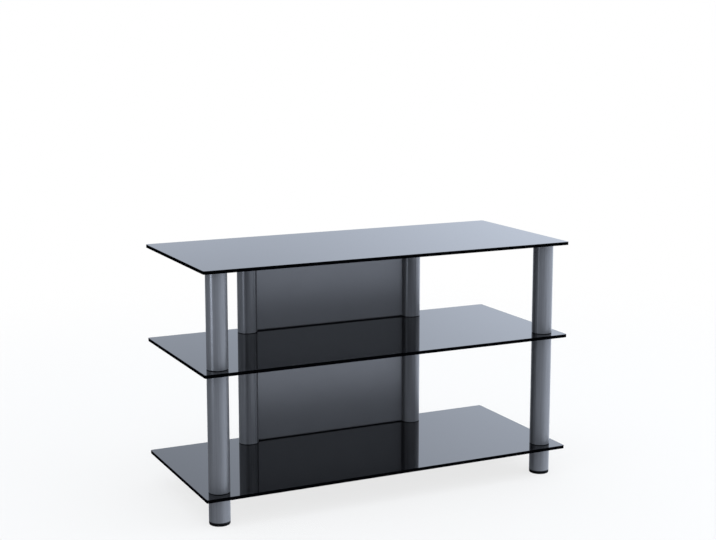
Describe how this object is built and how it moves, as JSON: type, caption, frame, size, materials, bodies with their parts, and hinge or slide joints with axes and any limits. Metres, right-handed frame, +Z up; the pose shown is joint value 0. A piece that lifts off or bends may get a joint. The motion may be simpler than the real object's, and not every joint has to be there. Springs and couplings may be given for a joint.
{
  "type": "glass tv stand",
  "caption": "Low television stand: rectangular black glass shelves clamped on round aluminium posts, with folded back panels between the rear posts and screw-adjusted feet.",
  "frame": {"origin": "on the floor, under the centre of the shelves", "axes": "+X to the right seen from the front, +Y to the back, +Z up"},
  "size_m": [0.96, 0.42, 0.6],
  "materials": {
    "black_glass": "polished, opaque black",
    "satin_aluminium": "satin anodised",
    "turned_aluminium": "turned",
    "silver_sheet": "satin silver paint",
    "black_foam": "matt foam",
    "zinc_plated_steel": "bright zinc plate",
    "black_plastic": "moulded, matt"
  },
  "bodies": {
    "frame": {"bonded_discs": "turned_aluminium", "bottom_shelf": "black_glass", "foot_inserts": "black_plastic", "foot_tube_front_left": "satin_aluminium", "foot_tube_front_right": "satin_aluminium", "foot_tube_rear_left": "satin_aluminium", "foot_tube_rear_right": "satin_aluminium", "lower_back_panel": "silver_sheet", "lower_panel_bottom_strip": "black_foam", "lower_panel_top_strip": "black_foam", "lower_tube_front_left": "satin_aluminium", "lower_tube_front_right": "satin_aluminium", "lower_tube_rear_left": "satin_aluminium", "lower_tube_rear_right": "satin_aluminium", "middle_shelf": "black_glass", "rings_over_bottom_shelf": "black_plastic", "rings_over_middle_shelf": "black_plastic", "rings_under_bottom_shelf": "black_plastic", "rings_under_middle_shelf": "black_plastic", "threaded_rods": "zinc_plated_steel", "top_shelf": "black_glass", "upper_back_panel": "silver_sheet", "upper_panel_bottom_strip": "black_foam", "upper_panel_top_strip": "black_foam", "upper_tube_front_left": "satin_aluminium", "upper_tube_front_right": "satin_aluminium", "upper_tube_rear_left": "satin_aluminium", "upper_tube_rear_right": "satin_aluminium"},
    "pad_front_left": {"levelling_pad_front_left": "black_plastic"},
    "stud_front_left": {"levelling_stud_front_left": "zinc_plated_steel"},
    "pad_front_right": {"levelling_pad_front_right": "black_plastic"},
    "stud_front_right": {"levelling_stud_front_right": "zinc_plated_steel"},
    "pad_rear_left": {"levelling_pad_rear_left": "black_plastic"},
    "stud_rear_left": {"levelling_stud_rear_left": "zinc_plated_steel"},
    "pad_rear_right": {"levelling_pad_rear_right": "black_plastic"},
    "stud_rear_right": {"levelling_stud_rear_right": "zinc_plated_steel"}
  },
  "joints": [
    {"name": "travel_front_left", "type": "slide", "parent": "frame", "child": "pad_front_left", "axis": [0, 0, -1], "range_m": [0, 0.01]},
    {"name": "turn_front_left", "type": "hinge", "parent": "pad_front_left", "child": "stud_front_left", "pos_m": [-0.434, -0.164, 0.003], "axis": [0, 0, -1], "range_deg": [0, 2880]},
    {"name": "travel_front_right", "type": "slide", "parent": "frame", "child": "pad_front_right", "axis": [0, 0, -1], "range_m": [0, 0.01]},
    {"name": "turn_front_right", "type": "hinge", "parent": "pad_front_right", "child": "stud_front_right", "pos_m": [0.434, -0.164, 0.003], "axis": [0, 0, -1], "range_deg": [0, 2880]},
    {"name": "travel_rear_left", "type": "slide", "parent": "frame", "child": "pad_rear_left", "axis": [0, 0, -1], "range_m": [0, 0.01]},
    {"name": "turn_rear_left", "type": "hinge", "parent": "pad_rear_left", "child": "stud_rear_left", "pos_m": [-0.233, 0.164, 0.003], "axis": [0, 0, -1], "range_deg": [0, 2880]},
    {"name": "travel_rear_right", "type": "slide", "parent": "frame", "child": "pad_rear_right", "axis": [0, 0, -1], "range_m": [0, 0.01]},
    {"name": "turn_rear_right", "type": "hinge", "parent": "pad_rear_right", "child": "stud_rear_right", "pos_m": [0.233, 0.164, 0.003], "axis": [0, 0, -1], "range_deg": [0, 2880]}
  ],
  "couplings": [
    {"joint": "turn_front_left", "follows": "travel_front_left", "rad_per_m": 5026.5},
    {"joint": "turn_front_right", "follows": "travel_front_right", "rad_per_m": 5026.5},
    {"joint": "turn_rear_left", "follows": "travel_rear_left", "rad_per_m": 5026.5},
    {"joint": "turn_rear_right", "follows": "travel_rear_right", "rad_per_m": 5026.5}
  ]
}
